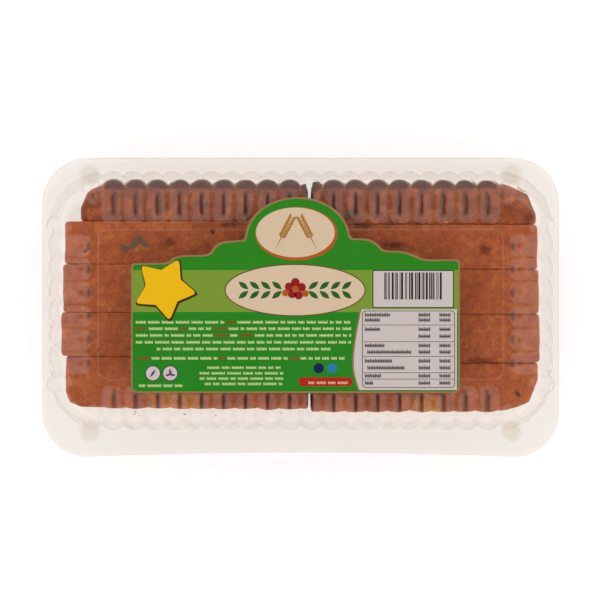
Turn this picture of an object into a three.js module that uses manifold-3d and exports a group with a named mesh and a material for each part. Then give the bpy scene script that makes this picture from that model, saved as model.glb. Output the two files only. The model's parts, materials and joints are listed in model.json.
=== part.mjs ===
// A closed clear clamshell pack: a fluted tray and lid of thin formed plastic, two rows of cut
// fruit cake inside and a paper label on the lid.
// Millimetres, +Z up, the hinge fold along +Y. The origin is on the ground, under the middle of the flange.

import * as THREE from 'three';
import { mergeVertices } from 'three/addons/utils/BufferGeometryUtils.js';
import Module from 'manifold-3d';

const wasm = await Module();
wasm.setup();

// Driving dimensions of the pack
const sheet = 0.5; // thickness of the formed plastic
const gap = 0.3; // clearance between pieces that lie on each other
const partingHeight = 25; // the plane between the flanges, which also holds the hinge axis
const flange = { length: 238, depth: 137.5, corner: 21, frontBow: 2, lipWidth: 0.8, lipHeight: 0.9 };
const arcSteps = 6;

// The walls are measured in the valleys between the flutes, and the bulge is what a flute adds.
const trayWall = {
  centreY: 3.2,
  rim: { halfLength: 114.5, halfDepth: 57.8, corner: 23.5 },
  end: { halfLength: 108.6, halfDepth: 52.6, corner: 18 },
  longSide: { flutes: 20, pitch: 9.1 },
  shortSide: { flutes: 6, pitch: 10.35 },
  bulge: 2,
  footHeight: 2.5,
  footReach: 0.45,
};
const lidWall = {
  centreY: 1.4,
  rim: { halfLength: 114, halfDepth: 55.2, corner: 23 },
  end: { halfLength: 91.6, halfDepth: 34.2, corner: 5 },
  longSide: { flutes: 18, pitch: 10 },
  shortSide: { flutes: 6, pitch: 10.6 },
  bulge: 2.6,
  height: 20.1,
  uprightReach: 0.03,
  shoulderRise: 6.3, // the round shoulder, from the upright wall to the flat top
  shoulderReach: 0.32,
  fluteEnd: [{ reach: 0.68, swell: 1 }, { reach: 0.83, swell: 0.7 }, { reach: 0.89, swell: 0 }],
};
const panelRise = 2.7; // the flat panel on top of the lid stands up by this step, as high as the flutes
const panelMargin = 0.4;
const flutePoints = 3; // outline points from one valley to the next
const cornerSlack = 0.45; // how far round a corner, as a share of its radius, a side's flutes may run

// Snap buttons at the four corners of the flange: hollow cups on the lid over studs on the tray
const buttons = { sideX: 97, frontY: -56.8, rearY: 61, radius: 4.6, height: 2, sides: 12 };
const stud = { radius: 3.3, height: 1.5 };

// Driving dimensions of the cake: each half is one small loaf, cut across into five
const cake = {
  floorGap: 0.3,
  crownHeight: 34.6,
  endDrop: 1.3, // how much lower the first and last slices are
  dome: 0.7,
  cutGap: 0.5,
  cutEdge: 0.4, // rounding of a cut face's top edge
  crustEdge: 3.4, // rounding of the crust's top edge
  cutCorner: 1.2, // rounding of a slice's upright edges where it was cut
  taper: 1.9, // how far the crust leans in at the foot
  bellyShare: 0.62, // height of the widest level, as a share of the crown's
  rearBelly: 2.5, // how far the first slices swell out at the rear, under the lid's flange
};
const halves = {
  left: {
    cuts: [55.3, 39.4, 19.8, -2.1, -22.1, -45.8],
    leftEnds: [-100.6, -107.9, -108.8, -109.6, -107.6],
    rightEnds: [3.6, 3.8, 3.6, 3.8, 3.7],
    rearCorners: { left: 10, right: 4.5 },
    frontCorners: { left: 7, right: 1.5 },
  },
  right: {
    cuts: [55.2, 37.9, 17.4, -3, -25.2, -47.2],
    leftEnds: [4.4, 4.3, 4.2, 4.4, 4.3],
    rightEnds: [107.7, 108.4, 109.0, 109.4, 108.8],
    rearCorners: { left: 4, right: 14 },
    frontCorners: { left: 1.5, right: 14 },
  },
};

// Driving dimensions of the label, seen from above. The wave is its right rear edge, as far out from
// the hump's middle line and as far back as its points say, and the left one is its mirror image.
const label = {
  thickness: 0.25,
  left: -76.3,
  right: 71.6,
  front: -38.4,
  corner: 2.4,
  shoulderY: 21.1,
  wave: [[57.6, 21.7], [52.4, 23.7], [39.2, 25.9], [35.8, 28.9], [24.9, 31.1]],
  hump: { x: -1.4, foot: 31.3, halfWidth: 23.5, height: 18.4 },
};

const lerp = THREE.MathUtils.lerp;

// Solids and meshes

function solidOf(geometry) {
  const bare = geometry.index ? geometry.toNonIndexed() : geometry.clone();
  bare.deleteAttribute('normal');
  bare.deleteAttribute('uv');
  const merged = mergeVertices(bare, 1e-4);
  return new wasm.Manifold(new wasm.Mesh({
    numProp: 3,
    vertProperties: new Float32Array(merged.attributes.position.array),
    triVerts: new Uint32Array(merged.index.array),
  }));
}

function geometryOf(solid) {
  const mesh = solid.getMesh();
  const geometry = new THREE.BufferGeometry();
  geometry.setAttribute('position', new THREE.BufferAttribute(mesh.vertProperties.slice(), 3));
  geometry.setIndex(Array.from(mesh.triVerts));
  geometry.computeVertexNormals();
  return geometry;
}

// A closed body through rings of equally many points, from the lowest up, each anticlockwise from above
function loft(rings) {
  const count = rings[0].length;
  const faces = [];
  for (let level = 0; level < rings.length - 1; level += 1) {
    for (let i = 0; i < count; i += 1) {
      const a = level * count + i;
      const b = level * count + (i + 1) % count;
      faces.push(a, b, b + count, a, b + count, a + count);
    }
  }
  const lastRing = (rings.length - 1) * count;
  for (const [a, b, c] of THREE.ShapeUtils.triangulateShape(rings[0], [])) {
    faces.push(c, b, a);
  }
  for (const [a, b, c] of THREE.ShapeUtils.triangulateShape(rings[rings.length - 1], [])) {
    faces.push(lastRing + a, lastRing + b, lastRing + c);
  }
  const geometry = new THREE.BufferGeometry();
  const positions = rings.flat().flatMap((point) => point.toArray());
  geometry.setAttribute('position', new THREE.Float32BufferAttribute(positions, 3));
  geometry.setIndex(faces);
  return geometry;
}

function slab(shape, bottom, top) {
  const geometry = new THREE.ExtrudeGeometry(shape, {
    depth: top - bottom,
    bevelEnabled: false,
    curveSegments: arcSteps,
  });
  geometry.translate(0, 0, bottom);
  return solidOf(geometry);
}

function disc(x, y, radius, bottom, top) {
  const geometry = new THREE.CylinderGeometry(radius, radius, top - bottom, buttons.sides);
  geometry.rotateX(Math.PI / 2);
  geometry.translate(x, y, (bottom + top) / 2);
  return solidOf(geometry);
}

// Flat outlines

function roundedPath(path, halfLength, halfDepth, corner, centreY, frontBow) {
  const x = halfLength - corner;
  const front = centreY - halfDepth + corner;
  const rear = centreY + halfDepth - corner;
  path.moveTo(-x, front - corner);
  path.quadraticCurveTo(0, front - corner + 2 * frontBow, x, front - corner);
  path.absarc(x, front, corner, -Math.PI / 2, 0);
  path.absarc(x, rear, corner, 0, Math.PI / 2);
  path.absarc(-x, rear, corner, Math.PI / 2, Math.PI);
  path.absarc(-x, front, corner, Math.PI, 1.5 * Math.PI);
  return path;
}

function flangePath(path, inset) {
  return roundedPath(path, flange.length / 2 - inset, flange.depth / 2 - inset,
    flange.corner - inset, 0, flange.frontBow);
}

function lipShape() {
  const shape = flangePath(new THREE.Shape(), 0);
  shape.holes.push(flangePath(new THREE.Path(), flange.lipWidth));
  return shape;
}

function panelShape(inset) {
  const { halfLength, halfDepth, corner } = lidWall.end;
  return roundedPath(new THREE.Shape(), halfLength - inset, halfDepth - inset, corner, lidWall.centreY, 0);
}

// Fluted walls

function fluteSwell(across) {
  return 4 * across * (1 - across);
}

// Corner of the tray: flat facets that stand as far out as the flutes
function trayCorner() {
  return [0, 0.08, 0.36, 0.64, 0.92].map((turn) => ({ turn, swell: turn === 0 ? 0 : 1 }));
}

// Corner of the lid: one short flute at each end and a smooth stretch between them
function lidCorner() {
  const points = [];
  const fluteShare = 0.25;
  for (const start of [0, 1 - fluteShare]) {
    for (let i = 0; i < flutePoints; i += 1) {
      const across = i / flutePoints;
      points.push({ turn: start + fluteShare * across, swell: fluteSwell(across), short: true });
    }
  }
  for (const turn of [0.25, 0.42, 0.58]) {
    points.push({ turn, swell: 0 });
  }
  return points.sort((a, b) => a.turn - b.turn);
}

function flutesOn(wall, side) {
  return side % 2 === 0 ? wall.longSide : wall.shortSide;
}

// The outline's points in order, from the front side round to the left side
function stationsOf(wall, cornerPoints) {
  const stations = [];
  for (let side = 0; side < 4; side += 1) {
    const { flutes, pitch } = flutesOn(wall, side);
    for (let i = 0; i < flutes * flutePoints; i += 1) {
      const at = (i / flutePoints - flutes / 2) * pitch;
      stations.push({ side, at, swell: fluteSwell((i % flutePoints) / flutePoints) });
    }
    for (const point of cornerPoints) {
      stations.push({ side, ...point });
    }
  }
  return stations;
}

// Angle of a point that lies past the straight stretch of a side, on the corner's arc
function turnPast(at, straight, corner) {
  return Math.asin(Math.max(0, Math.abs(at) - straight) / corner);
}

// Where one station lies on a rounded rectangle: its place and the outward direction there.
// Each side is worked out as the front side, and then turned by quarters.
function stationPlace(wall, size, station) {
  const { side } = station;
  const extents = [size.halfLength, size.halfDepth];
  const straight = [extents[side % 2] - size.corner, extents[(side + 1) % 2] - size.corner];
  const runs = [flutesOn(wall, side), flutesOn(wall, side + 1)];
  const fluted = runs.map(({ flutes, pitch }) => flutes * pitch / 2);
  const reach = fluted.map((run, i) => Math.min(run, straight[i] + cornerSlack * size.corner));
  let angle;
  let along = straight[0];
  if (station.turn === undefined) {
    const at = station.at * reach[0] / fluted[0];
    angle = Math.sign(at) * turnPast(at, straight[0], size.corner);
    along = THREE.MathUtils.clamp(at, -straight[0], straight[0]);
  } else {
    const first = turnPast(reach[0], straight[0], size.corner);
    const last = Math.PI / 2 - turnPast(reach[1], straight[1], size.corner);
    angle = lerp(first, last, station.turn);
  }
  const outward = new THREE.Vector2(Math.sin(angle), -Math.cos(angle));
  const place = new THREE.Vector2(along, -straight[1]).addScaledVector(outward, size.corner);
  const origin = new THREE.Vector2();
  const quarter = side * Math.PI / 2;
  return { place: place.rotateAround(origin, quarter), outward: outward.rotateAround(origin, quarter) };
}

function sizeAt(wall, reach, inset) {
  return {
    halfLength: lerp(wall.rim.halfLength, wall.end.halfLength, reach) - inset,
    halfDepth: lerp(wall.rim.halfDepth, wall.end.halfDepth, reach) - inset,
    corner: lerp(wall.rim.corner, wall.end.corner, reach) - inset,
  };
}

function flutedRing(wall, stations, level, inset) {
  const size = sizeAt(wall, level.reach, inset);
  return stations.map((station) => {
    const { place, outward } = stationPlace(wall, size, station);
    const fade = station.short ? level.shortSwell : level.swell;
    const bulge = wall.bulge * station.swell * fade;
    place.addScaledVector(outward, bulge * Math.cos(level.tilt));
    return new THREE.Vector3(place.x, wall.centreY + place.y, level.z + bulge * Math.sin(level.tilt));
  });
}

function flutedForm(wall, stations, levels, inset) {
  return solidOf(loft(levels.map((level) => flutedRing(wall, stations, level, inset))));
}

// Levels of the tray from its floor up to a height
function trayLevels(floor, top) {
  return [
    { z: floor, reach: 1, swell: 0, tilt: 0 },
    { z: floor + trayWall.footHeight, reach: trayWall.footReach, swell: 0.9, tilt: 0 },
    { z: top, reach: 0, swell: 1, tilt: 0 },
  ];
}

// Levels of the lid: an upright wall, a round shoulder and a flat top. The flutes run up the wall, over
// the shoulder and in along the top to round ends just short of the panel, and the short ones end sooner.
function lidLevels(bottom, lift) {
  const { height, uprightReach, shoulderRise, shoulderReach, fluteEnd } = lidWall;
  const roof = partingHeight + gap / 2 + height + lift;
  const levels = [{ z: bottom, reach: 0, tilt: 0, swell: 1, shortSwell: 1 }];
  for (const turn of [0, 45, 90]) {
    const angle = THREE.MathUtils.degToRad(turn);
    levels.push({
      z: roof - shoulderRise * (1 - Math.sin(angle)),
      reach: lerp(uprightReach, shoulderReach, 1 - Math.cos(angle)),
      tilt: angle,
      swell: 1,
      shortSwell: 1,
    });
  }
  for (const { reach, swell } of fluteEnd) {
    levels.push({ z: roof, reach, tilt: Math.PI / 2, swell, shortSwell: 0 });
  }
  return levels;
}

// The two halves of the pack

function buttonPlaces() {
  const { sideX, frontY, rearY } = buttons;
  return [[-sideX, frontY], [sideX, frontY], [sideX, rearY], [-sideX, rearY]];
}

function trayGeometry() {
  const top = partingHeight - gap / 2;
  const bottom = top - sheet;
  const stations = stationsOf(trayWall, trayCorner());
  let tray = slab(flangePath(new THREE.Shape(), 0), bottom, top);
  tray = tray.add(slab(lipShape(), bottom - flange.lipHeight, bottom + sheet / 2));
  tray = tray.add(flutedForm(trayWall, stations, trayLevels(0, bottom + sheet / 2), 0));
  for (const [x, y] of buttonPlaces()) {
    tray = tray.add(disc(x, y, stud.radius, bottom + sheet / 2, top + stud.height));
  }
  tray = tray.subtract(flutedForm(trayWall, stations, trayLevels(sheet, top + 2 * stud.height), sheet));
  return geometryOf(tray);
}

function lidGeometry() {
  const bottom = partingHeight + gap / 2;
  const top = bottom + sheet;
  const roof = bottom + lidWall.height;
  const stations = stationsOf(lidWall, lidCorner());
  let lid = slab(flangePath(new THREE.Shape(), 0), bottom, top);
  let hollow = flutedForm(lidWall, stations, lidLevels(bottom - 1, -sheet), sheet);
  lid = lid.add(slab(lipShape(), top - sheet / 2, top + flange.lipHeight));
  lid = lid.add(flutedForm(lidWall, stations, lidLevels(bottom + sheet / 2, 0), 0));
  lid = lid.add(slab(panelShape(panelMargin), roof - sheet / 2, roof + panelRise));
  hollow = hollow.add(slab(panelShape(panelMargin + sheet), roof - 2 * sheet, roof + panelRise - sheet));
  for (const [x, y] of buttonPlaces()) {
    lid = lid.add(disc(x, y, buttons.radius, top - sheet / 2, top + buttons.height));
    hollow = hollow.add(disc(x, y, buttons.radius - sheet, bottom - 1, top + buttons.height - sheet));
  }
  return geometryOf(lid.subtract(hollow));
}

// Cake slices

// One closed outline of a slice: corners in order from the front left, with points along the long edges
function sliceRing(edges, corners, z) {
  const points = [];
  const cornerSteps = 2;
  const sideSteps = 3;
  const { left, right, front, rear } = edges;
  const { frontLeft, frontRight, rearRight, rearLeft } = corners;
  const turns = [
    { x: left + frontLeft, y: front + frontLeft, start: Math.PI, radius: frontLeft },
    { x: right - frontRight, y: front + frontRight, start: 1.5 * Math.PI, radius: frontRight },
    { x: right - rearRight, y: rear - rearRight, start: 0, radius: rearRight },
    { x: left + rearLeft, y: rear - rearLeft, start: Math.PI / 2, radius: rearLeft },
  ];
  turns.forEach((turn, index) => {
    for (let i = 0; i <= cornerSteps; i += 1) {
      const angle = turn.start + i / cornerSteps * Math.PI / 2;
      const x = turn.x + turn.radius * Math.cos(angle);
      const y = turn.y + turn.radius * Math.sin(angle);
      points.push(new THREE.Vector3(x, y, z));
    }
    if (index % 2 === 0) {
      const from = points[points.length - 1];
      const toX = turns[index + 1].x;
      for (let i = 1; i < sideSteps; i += 1) {
        points.push(new THREE.Vector3(lerp(from.x, toX, i / sideSteps), from.y, z));
      }
    }
  });
  return points;
}

// From the foot up: the crust leans out, its top edge is rounded and the top is a low dome.
// Only the first and last slices have crust at the rear and the front, and the first ones swell out
// at the rear as far as the tray's wall lets them, and draw in again just below the lid's flange.
function sliceGeometry(half, row) {
  const last = half.leftEnds.length - 1;
  const rearCut = row === 0 ? half.cuts[row] : half.cuts[row] - cake.cutGap / 2;
  const frontCut = row === last ? half.cuts[row + 1] : half.cuts[row + 1] + cake.cutGap / 2;
  const fromMiddle = 2 * row / last - 1;
  const crown = cake.crownHeight - cake.endDrop * fromMiddle ** 2;
  const rim = crown - cake.dome;
  const { taper, crustEdge, cutEdge, cutCorner, bellyShare, rearBelly } = cake;
  const levels = [
    { z: sheet + cake.floorGap, crust: taper, cut: 0, belly: 0 },
    { z: bellyShare * crown, crust: 0.3 * taper, cut: 0, belly: rearBelly },
    { z: partingHeight - gap, crust: 0.2 * taper, cut: 0, belly: 0.2 * rearBelly },
    { z: rim - crustEdge, crust: 0, cut: 0, belly: 0 },
    { z: rim - 0.3 * crustEdge, crust: 0.3 * crustEdge, cut: 0, belly: 0 },
    { z: rim, crust: crustEdge, cut: cutEdge, belly: 0 },
    { z: crown, crust: 4 * crustEdge, cut: 4 * cutEdge, belly: 0 },
  ];
  return loft(levels.map(({ z, crust, cut, belly }) => {
    const edges = {
      left: half.leftEnds[row] + crust,
      right: half.rightEnds[row] - crust,
      front: frontCut + (row === last ? crust / 2 : cut),
      rear: rearCut + (row === 0 ? belly - crust / 2 : -cut),
    };
    const depth = edges.rear - edges.front;
    const roundest = 0.75 * depth;
    const sharp = Math.min(cutCorner, depth - roundest);
    const corners = {
      frontLeft: row === last ? Math.min(half.frontCorners.left, roundest) : sharp,
      frontRight: row === last ? Math.min(half.frontCorners.right, roundest) : sharp,
      rearRight: row === 0 ? Math.min(half.rearCorners.right, roundest) : sharp,
      rearLeft: row === 0 ? Math.min(half.rearCorners.left, roundest) : sharp,
    };
    return sliceRing(edges, corners, z);
  }));
}

// Label: a flat sheet on the panel and the flutes' crests, with a hump over the rear ones

function labelShape() {
  const { left, right, front, corner, shoulderY, wave, hump } = label;
  const mirror = (left - hump.x) / (right - hump.x);
  const rightWave = wave.map(([out, y]) => new THREE.Vector2(hump.x + out, y));
  const leftWave = wave.map(([out, y]) => new THREE.Vector2(hump.x + mirror * out, y)).reverse();
  const shape = new THREE.Shape();
  shape.moveTo(left + corner, front);
  shape.lineTo(right - corner, front);
  shape.absarc(right - corner, front + corner, corner, -Math.PI / 2, 0);
  shape.absarc(right - corner, shoulderY - corner, corner, 0, Math.PI / 2);
  shape.splineThru(rightWave);
  shape.absellipse(hump.x, hump.foot, hump.halfWidth, hump.height, 0, Math.PI);
  shape.lineTo(leftWave[0].x, leftWave[0].y);
  shape.splineThru(leftWave.slice(1));
  shape.absarc(left + corner, shoulderY - corner, corner, Math.PI / 2, Math.PI);
  shape.absarc(left + corner, front + corner, corner, Math.PI, 1.5 * Math.PI);
  return shape;
}

function labelGeometry() {
  const bottom = partingHeight + gap / 2 + lidWall.height + panelRise + gap;
  return geometryOf(slab(labelShape(), bottom, bottom + label.thickness));
}

// Assembly

const clearPlastic = new THREE.MeshStandardMaterial({
  color: 0xe9e6e2, roughness: 0.08, metalness: 0, transparent: true, opacity: 0.35,
});
const labelPaper = new THREE.MeshStandardMaterial({ color: 0x3fae2f, roughness: 0.45, metalness: 0 });
const crust = new THREE.MeshStandardMaterial({ color: 0x7d3b1d, roughness: 0.8, metalness: 0 });

function piece(name, geometry, material) {
  const mesh = new THREE.Mesh(geometry, material);
  mesh.name = name;
  return mesh;
}

const pack = new THREE.Group();
pack.add(piece('tray', trayGeometry(), clearPlastic));
for (const [side, half] of Object.entries(halves)) {
  for (let row = 0; row < half.leftEnds.length; row += 1) {
    pack.add(piece(`slice_${side}_${row + 1}`, sliceGeometry(half, row), crust));
  }
}
pack.add(piece('lid', lidGeometry(), clearPlastic));
pack.add(piece('label', labelGeometry(), labelPaper));

export default pack;
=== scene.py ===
# Sliced fruit cake in a clear hinged pack, seen from above.
# Blender units are metres; sizes below are written in millimetres.

import bpy
import bmesh
import json
import math
import random
import numpy as np
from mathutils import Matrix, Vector, noise
from mathutils.bvhtree import BVHTree

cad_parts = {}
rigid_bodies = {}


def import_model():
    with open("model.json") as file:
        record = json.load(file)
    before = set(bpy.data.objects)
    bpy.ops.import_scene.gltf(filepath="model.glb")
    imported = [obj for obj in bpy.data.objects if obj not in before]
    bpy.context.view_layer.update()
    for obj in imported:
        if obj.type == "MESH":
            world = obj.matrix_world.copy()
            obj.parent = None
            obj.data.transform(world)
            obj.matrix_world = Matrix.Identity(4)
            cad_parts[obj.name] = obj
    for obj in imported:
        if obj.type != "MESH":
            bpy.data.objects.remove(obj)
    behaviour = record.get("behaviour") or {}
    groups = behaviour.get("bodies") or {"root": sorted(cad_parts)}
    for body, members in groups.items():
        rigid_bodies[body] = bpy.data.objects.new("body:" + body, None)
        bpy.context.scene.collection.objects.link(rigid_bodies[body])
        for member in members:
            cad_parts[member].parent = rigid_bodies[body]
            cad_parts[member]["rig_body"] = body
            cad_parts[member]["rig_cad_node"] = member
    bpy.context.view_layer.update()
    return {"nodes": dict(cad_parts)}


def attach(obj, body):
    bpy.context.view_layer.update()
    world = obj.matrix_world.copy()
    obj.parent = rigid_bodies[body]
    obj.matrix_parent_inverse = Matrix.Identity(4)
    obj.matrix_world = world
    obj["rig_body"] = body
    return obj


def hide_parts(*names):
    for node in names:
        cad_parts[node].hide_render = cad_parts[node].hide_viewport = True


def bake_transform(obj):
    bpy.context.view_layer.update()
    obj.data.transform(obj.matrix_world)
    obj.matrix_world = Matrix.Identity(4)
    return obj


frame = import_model()
mm = 0.001
levelSlack = 0.002 * mm   # how far a point may be from a level and still count as on it
print("frame loaded")


# Small helpers for the mesh work

def deselectAll():
    bpy.ops.object.select_all(action='DESELECT')


def pick(obj, *others):
    deselectAll()
    for other in (obj, *others):
        other.select_set(True)
    bpy.context.view_layer.objects.active = obj


def named(name):
    obj = bpy.context.object
    obj.name = name
    obj.data.name = name
    return obj


def inEditMode(obj, *steps):
    pick(obj)
    bpy.ops.object.mode_set(mode='EDIT')
    for step in steps:
        step()
    bpy.ops.object.mode_set(mode='OBJECT')


def settle(obj):
    # place, turn and scale go into the mesh
    pick(obj)
    bpy.ops.object.transform_apply(location=True, rotation=True, scale=True)
    return obj


def useModifier(obj, kind, **settings):
    pick(obj)
    modifier = obj.modifiers.new(kind.title(), kind)
    for key, value in settings.items():
        setattr(modifier, key, value)
    bpy.ops.object.modifier_apply(modifier=modifier.name)


def joined(name, pieces):
    pick(*pieces)
    bpy.ops.object.join()
    return named(name)


def closeDoubles(obj, distance):
    inEditMode(
        obj,
        lambda: bpy.ops.mesh.select_all(action='SELECT'),
        lambda: bpy.ops.mesh.remove_doubles(threshold=distance),
    )


def smoothByAngle(obj, degrees):
    pick(obj)
    bpy.ops.object.shade_smooth_by_angle(angle=math.radians(degrees))


def closeOpenEdges(obj, fits, fill):
    # selects the open edges with both ends at a height that fits, and fills between them
    pick(obj)
    bpy.ops.object.mode_set(mode='EDIT')
    bpy.ops.mesh.select_mode(type='EDGE')
    mesh = bmesh.from_edit_mesh(obj.data)
    for part in (mesh.faces, mesh.edges, mesh.verts):
        for element in part:
            element.select = False
    for edge in mesh.edges:
        if len(edge.link_faces) == 1 and all(fits(v.co.z) for v in edge.verts):
            edge.select = True
    mesh.select_flush_mode()
    bmesh.update_edit_mesh(obj.data)
    fill()
    bpy.ops.object.mode_set(mode='OBJECT')


def mixed(a, b, share):
    return a + (b - a) * share


def readPoints(obj):
    points = np.empty(len(obj.data.vertices) * 3)
    obj.data.vertices.foreach_get("co", points)
    return points.reshape(-1, 3)


def writePoints(obj, points):
    obj.data.vertices.foreach_set("co", np.asarray(points, dtype=float).ravel())
    obj.data.update()


def finishPiece(obj, body, material, stands=()):
    obj.data.materials.clear()
    obj.data.materials.append(material)
    if stands:
        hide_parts(*stands)
    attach(obj, body)
    return obj


# Small helpers for the materials

def addNode(tree, kind, values=None, **settings):
    made = tree.nodes.new(kind)
    for key, value in settings.items():
        setattr(made, key, value)
    for key, value in (values or {}).items():
        if isinstance(value, bpy.types.NodeSocket):
            tree.links.new(value, made.inputs[key])
        else:
            made.inputs[key].default_value = value
    return made


def linear(red, green, blue):
    # screen colour, 0 to 255, as the colour that Blender works with
    shares = [value / 255 for value in (red, green, blue)]
    curve = [s / 12.92 if s <= 0.04045 else ((s + 0.055) / 1.055) ** 2.4 for s in shares]
    return (*curve, 1.0)


def mixColours(tree, factor, first, second, blend='MIX'):
    values = {0: factor, 6: first, 7: second}
    return addNode(tree, 'ShaderNodeMix', values, data_type='RGBA', blend_type=blend).outputs[2]


def maths(tree, operation, first, second=0.0, third=0.0, clamp=False):
    values = {0: first, 1: second, 2: third}
    return addNode(tree, 'ShaderNodeMath', values, operation=operation, use_clamp=clamp).outputs[0]


def spread(tree, value, fromLow, fromHigh, toLow=0.0, toHigh=1.0):
    made = addNode(tree, 'ShaderNodeMapRange', {
        'Value': value, 'From Min': fromLow, 'From Max': fromHigh, 'To Min': toLow, 'To Max': toHigh,
    })
    return made.outputs[0]


def newMaterial(name):
    # the material, its node tree and the place on the object
    material = bpy.data.materials.new(name)
    material.use_nodes = True
    tree = material.node_tree
    tree.nodes.clear()
    return material, tree, addNode(tree, 'ShaderNodeTexCoord').outputs['Object']


def showSurface(tree, shader):
    addNode(tree, 'ShaderNodeOutputMaterial', {'Surface': shader.outputs[0]})


def paintedMask(tree, name):
    # a mask that is stored point by point on the mesh
    return addNode(tree, 'ShaderNodeAttribute', attribute_name=name).outputs['Fac']


def newGroup(name, inputs, outputs):
    group = bpy.data.node_groups.new(name, 'ShaderNodeTree')
    for label, kind, value in inputs:
        socket = group.interface.new_socket(label, in_out='INPUT', socket_type=kind)
        if value is not None:
            socket.default_value = value
    for label, kind in outputs:
        group.interface.new_socket(label, in_out='OUTPUT', socket_type=kind)
    return group, group.nodes.new('NodeGroupInput').outputs, group.nodes.new('NodeGroupOutput').inputs


def useGroup(tree, group, values):
    made = tree.nodes.new('ShaderNodeGroup')
    made.node_tree = group
    for key, value in values.items():
        if isinstance(value, bpy.types.NodeSocket):
            tree.links.new(value, made.inputs[key])
        else:
            made.inputs[key].default_value = value
    return made.outputs


def makeMottle():
    # cloudy light and dark areas, from Low to High
    group, given, out = newGroup('mottle', [
        ('Vector', 'NodeSocketVector', None),
        ('Scale', 'NodeSocketFloat', 100.0),
        ('Low', 'NodeSocketFloat', 0.0),
        ('High', 'NodeSocketFloat', 1.0),
    ], [('Value', 'NodeSocketFloat')])
    clouds = addNode(group, 'ShaderNodeTexNoise', {
        'Vector': given['Vector'], 'Scale': given['Scale'], 'Detail': 4.0, 'Roughness': 0.6,
    })
    value = spread(group, clouds.outputs[0], 0.3, 0.7, given['Low'], given['High'])
    group.links.new(value, out['Value'])
    return group


def makeGrain():
    # fine relief of a surface, as a normal
    group, given, out = newGroup('grain', [
        ('Vector', 'NodeSocketVector', None),
        ('Scale', 'NodeSocketFloat', 1000.0),
        ('Strength', 'NodeSocketFloat', 0.2),
        ('Depth', 'NodeSocketFloat', 0.0001),
    ], [('Normal', 'NodeSocketVector')])
    clouds = addNode(group, 'ShaderNodeTexNoise', {
        'Vector': given['Vector'], 'Scale': given['Scale'], 'Detail': 3.0, 'Roughness': 0.55,
    })
    bump = addNode(group, 'ShaderNodeBump', {
        'Height': clouds.outputs[0], 'Strength': given['Strength'], 'Distance': given['Depth'],
    })
    group.links.new(bump.outputs[0], out['Normal'])
    return group


mottle = makeMottle()
grain = makeGrain()


# Clear formed plastic

plasticLook = dict(
    tint=(0.987, 0.977, 0.964, 1.0),   # what one surface lets through, seen straight on
    steepTint=(0.90, 0.885, 0.865, 1.0),   # and seen along the sheet
    straightShine=0.026,
    slantPower=8.0,        # how late the reflection rises towards the horizon
    steepPower=2.5,        # how late the tint turns into the one along the sheet
    roughness=0.035,
    waveScale=38.0,
    waveStrength=0.35,
    waveDepth=0.25 * mm,
)


def makeClearPlastic():
    look = plasticLook
    material, tree, place = newMaterial('clearPlastic')
    waves = useGroup(tree, grain, {
        'Vector': place, 'Scale': look['waveScale'],
        'Strength': look['waveStrength'], 'Depth': look['waveDepth'],
    })['Normal']
    facing = addNode(tree, 'ShaderNodeLayerWeight', {'Blend': 0.5}).outputs['Facing']
    slant = maths(tree, 'POWER', facing, look['slantPower'])
    shine = maths(tree, 'MULTIPLY_ADD', slant, 1 - look['straightShine'], look['straightShine'], clamp=True)
    depth = maths(tree, 'POWER', facing, look['steepPower'])
    tint = mixColours(tree, depth, look['tint'], look['steepTint'])
    through = addNode(tree, 'ShaderNodeBsdfTransparent', {'Color': tint})
    gloss = addNode(tree, 'ShaderNodeBsdfGlossy', {
        'Color': (1, 1, 1, 1), 'Roughness': look['roughness'], 'Normal': waves,
    })
    blend = addNode(tree, 'ShaderNodeMixShader', {0: shine, 1: through.outputs[0], 2: gloss.outputs[0]})
    showSurface(tree, blend)
    return material


clearPlastic = makeClearPlastic()
print("plastic ready")


# Rounded outlines and fluted walls, shared by the tray and the lid

def roundedOutline(halfLength, halfDepth, corner, centreY, frontBow, arcSteps, sideSteps):
    # anticlockwise from above, starting at the left end of the front edge
    points = []
    x = halfLength - corner
    front = centreY - halfDepth + corner
    rear = centreY + halfDepth - corner
    for step in range(sideSteps):
        t = step / sideSteps
        bow = 4 * frontBow * t * (1 - t)   # frontBow in the middle
        points.append((mixed(-x, x, t), front - corner + bow))
    for turn, (cx, cy) in enumerate([(x, front), (x, rear), (-x, rear), (-x, front)]):
        for step in range(arcSteps):
            angle = (turn - 1 + step / arcSteps) * math.pi / 2
            points.append((cx + corner * math.cos(angle), cy + corner * math.sin(angle)))
        if turn == 1:
            points += [(mixed(x, -x, step / sideSteps), rear + corner) for step in range(sideSteps)]
    return points


def wrappedGrid(name, rings):
    # a flat grid is bent round closed rings of points, and its seam is merged
    rings = np.asarray(rings, dtype=float)
    rows, columns = rings.shape[:2]
    deselectAll()
    bpy.ops.mesh.primitive_grid_add(x_subdivisions=columns, y_subdivisions=rows - 1, size=1)
    obj = named(name)
    closed = np.concatenate([rings, rings[:, :1]], axis=1)
    writePoints(obj, closed.reshape(-1, 3))
    closeDoubles(obj, 0.001 * mm)
    return obj


def straightStations(wall, side):
    run = wall['longSide'] if side % 2 == 0 else wall['shortSide']
    stations = []
    for flute in range(run['flutes']):
        middle = (flute + 0.5 - run['flutes'] / 2) * run['pitch']
        for across in wall['acrossSteps']:
            at = middle + across * run['pitch'] / 2
            stations.append(dict(side=side, at=at, across=across / wall['fluteShare'], short=False))
    return stations


def turnPast(at, straight, corner):
    return math.asin(min(1.0, max(0.0, abs(at) - straight) / corner))


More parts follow.
